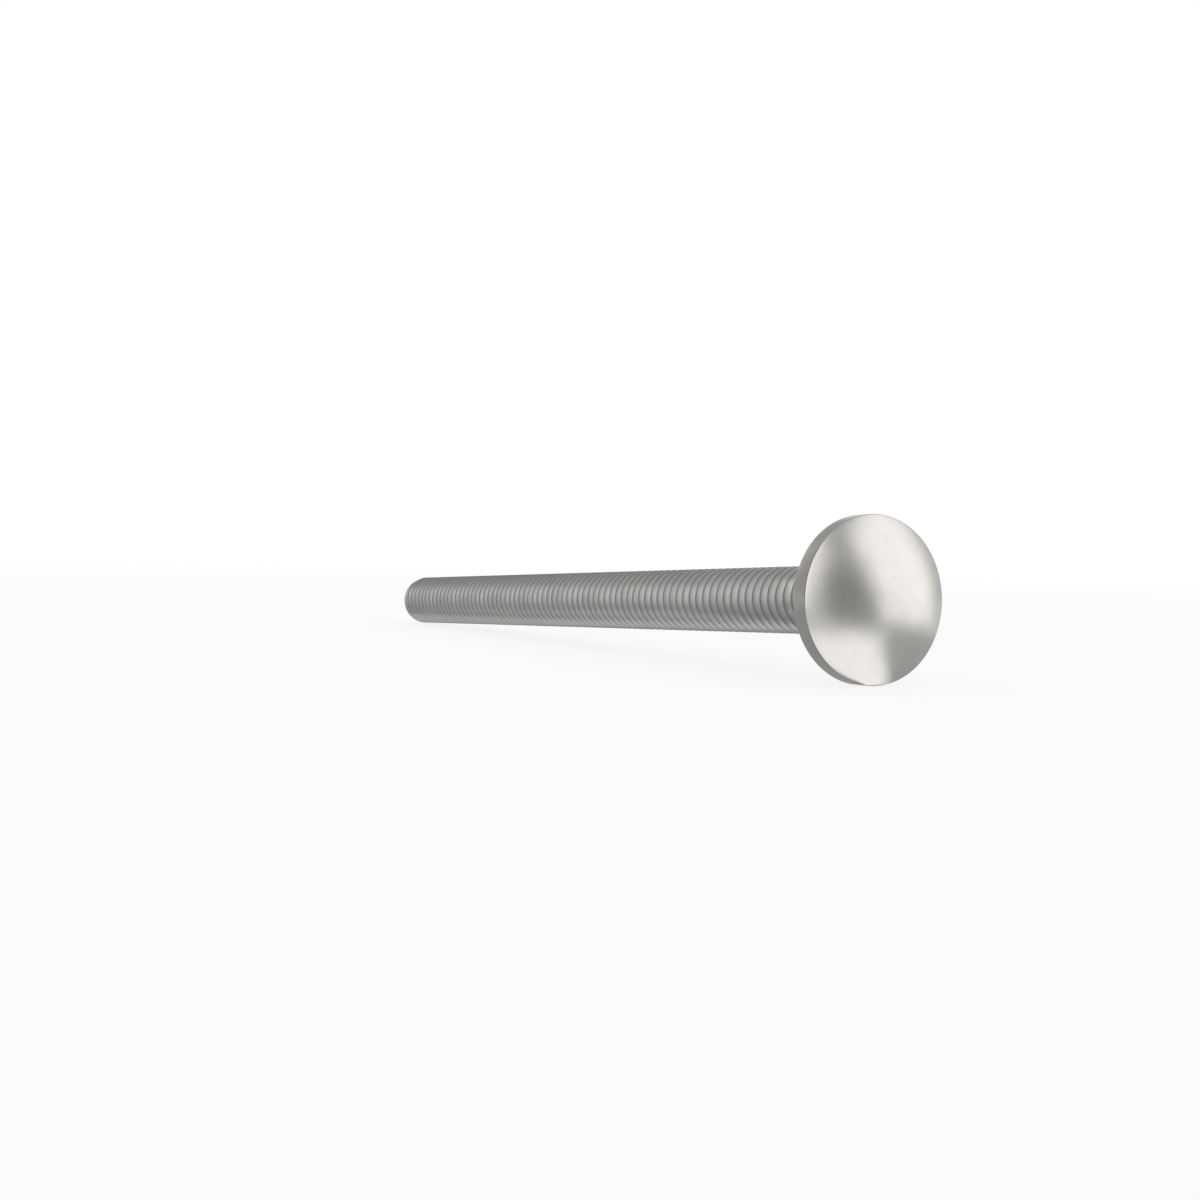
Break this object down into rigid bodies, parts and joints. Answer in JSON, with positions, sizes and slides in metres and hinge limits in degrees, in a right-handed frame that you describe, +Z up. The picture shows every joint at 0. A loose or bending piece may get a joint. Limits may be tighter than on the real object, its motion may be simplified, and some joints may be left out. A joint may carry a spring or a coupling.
{
  "type": "carriage bolt",
  "caption": "Round-head carriage bolt with a low domed head, a square neck under it and a coarse right-hand thread along the whole shank to a short conical point.",
  "frame": {"origin": "bottom centre of the bolt's box, on the ground that it lies on", "axes": "+X along the bolt towards its head, +Z up from the ground. The bolt's own axis rises by 2.5 degrees towards the head, because the head's edge and the last full crest of the thread both rest on the ground."},
  "size_m": [0.1053, 0.015, 0.0151],
  "materials": {
    "steel": "satin, as rolled and tumbled stainless steel"
  },
  "bodies": {
    "root": {"bolt": "steel"}
  },
  "joints": []
}
